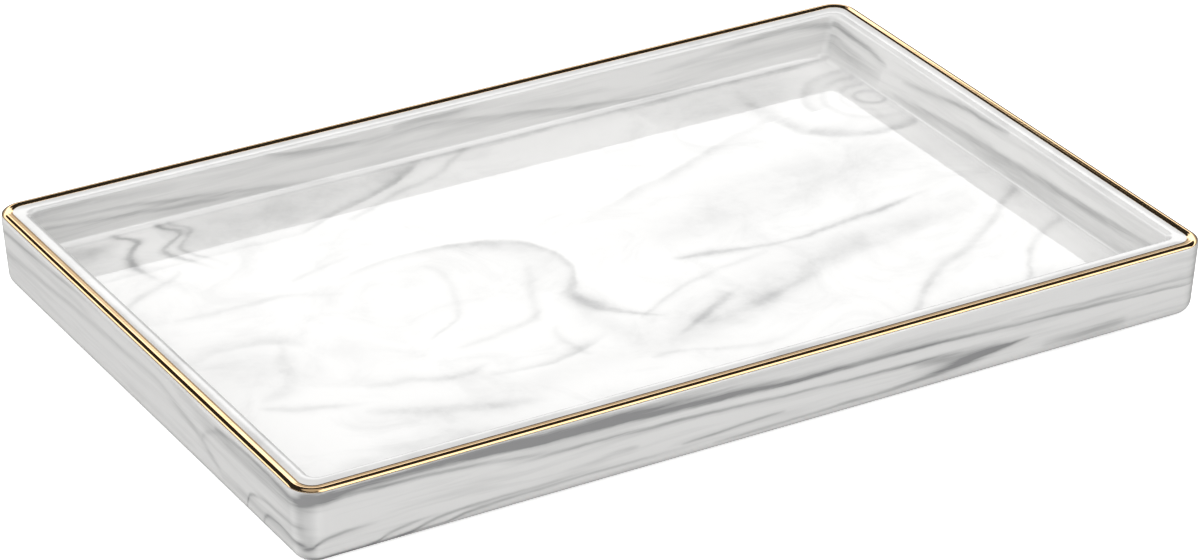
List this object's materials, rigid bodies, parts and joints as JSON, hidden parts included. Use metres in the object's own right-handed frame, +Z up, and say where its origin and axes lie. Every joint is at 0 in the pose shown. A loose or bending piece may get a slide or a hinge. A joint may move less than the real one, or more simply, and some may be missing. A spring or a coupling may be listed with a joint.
{
  "type": "dresser vanity tray",
  "caption": "Rectangular marbled ceramic vanity tray with a raised rim, a gold band round the rim's shoulder and rubber pads underneath.",
  "frame": {"origin": "on the surface the tray stands on, under the middle of the tray", "axes": "+X along the tray's length, +Y along its width towards the back, +Z up"},
  "size_m": [0.3, 0.2006, 0.0251],
  "materials": {
    "marbled_glaze": "clear gloss glaze over white ceramic with soft grey marbling",
    "gold_lustre": "fired gold lustre, polished",
    "pad_rubber": "matte moulded rubber with a fine grain",
    "adhesive_film": "thin double-sided adhesive film, matte"
  },
  "bodies": {
    "root": {"tray_body": "marbled_glaze", "gold_rim_band": "gold_lustre", "foot_pad_front_left": "pad_rubber", "pad_adhesive_front_left": "adhesive_film", "foot_pad_front_right": "pad_rubber", "pad_adhesive_front_right": "adhesive_film", "foot_pad_back_left": "pad_rubber", "pad_adhesive_back_left": "adhesive_film", "foot_pad_back_right": "pad_rubber", "pad_adhesive_back_right": "adhesive_film"}
  },
  "joints": []
}
